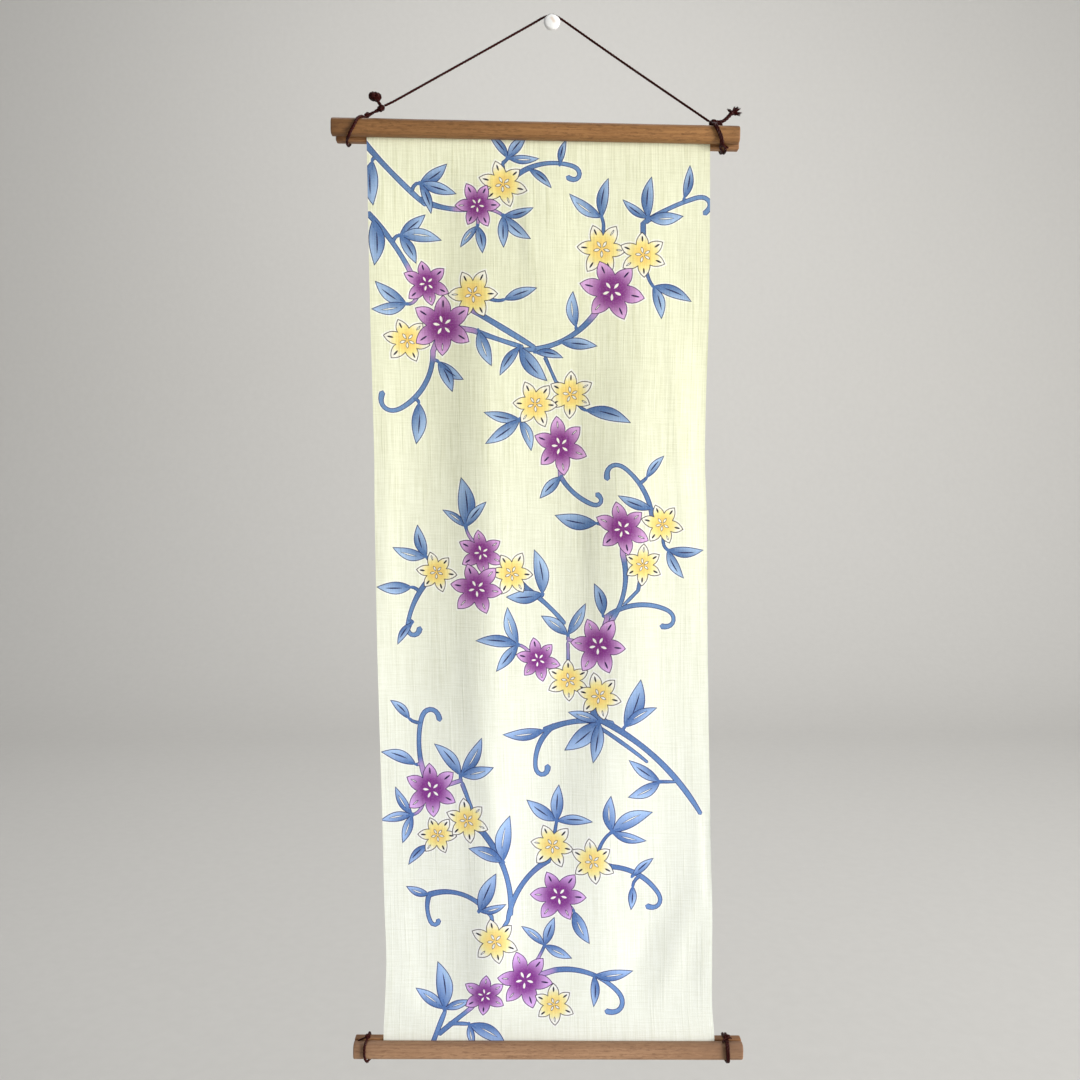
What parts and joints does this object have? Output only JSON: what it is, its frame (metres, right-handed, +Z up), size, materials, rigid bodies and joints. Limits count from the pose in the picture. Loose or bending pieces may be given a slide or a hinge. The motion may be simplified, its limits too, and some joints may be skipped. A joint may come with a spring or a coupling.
{
  "type": "tenugui towel hung between wooden clamp bars on a cord and a wall pin",
  "caption": "Long printed cotton towel hung as a scroll: clamped between wooden battens and slats at top and bottom, tied with thin dark cord and hung over a round-headed wall pin.",
  "frame": {"origin": "where the wall pin's axis meets the wall's surface", "axes": "+Z up, -Y out of the wall towards the viewer, +X to the viewer's right"},
  "size_m": [0.4006, 0.0352, 1.0309],
  "materials": {
    "printed_cotton": "matt plain-woven cotton, printed",
    "batten_wood": "satin stained wood",
    "slat_wood": "satin stained wood",
    "white_plastic": "smooth white plastic",
    "pin_steel": "bright steel",
    "maroon_cord": "twisted dark maroon cord"
  },
  "bodies": {
    "root": {"cloth": "printed_cotton", "top_front_batten": "batten_wood", "bottom_front_batten": "batten_wood", "top_back_slat": "slat_wood", "bottom_back_slat": "slat_wood", "wall_pin_head": "white_plastic", "wall_pin_needle": "pin_steel", "hanging_cord": "maroon_cord", "left_cord_knot": "maroon_cord", "left_link_upper": "maroon_cord", "left_link_lower": "maroon_cord", "left_tail": "maroon_cord", "left_ball_knot": "maroon_cord", "right_cord_knot": "maroon_cord", "right_tail": "maroon_cord", "right_stub": "maroon_cord", "right_tassel": "maroon_cord", "top_left_loop": "maroon_cord", "top_right_loop_left": "maroon_cord", "top_right_loop_right": "maroon_cord", "bottom_left_loop": "maroon_cord", "bottom_right_loop_left": "maroon_cord", "bottom_right_loop_right": "maroon_cord", "left_ring_knot": "maroon_cord", "bottom_left_knot": "maroon_cord", "bottom_right_knot": "maroon_cord", "bottom_left_tail": "maroon_cord", "bottom_right_tail": "maroon_cord", "bottom_right_stub": "maroon_cord"}
  },
  "joints": []
}
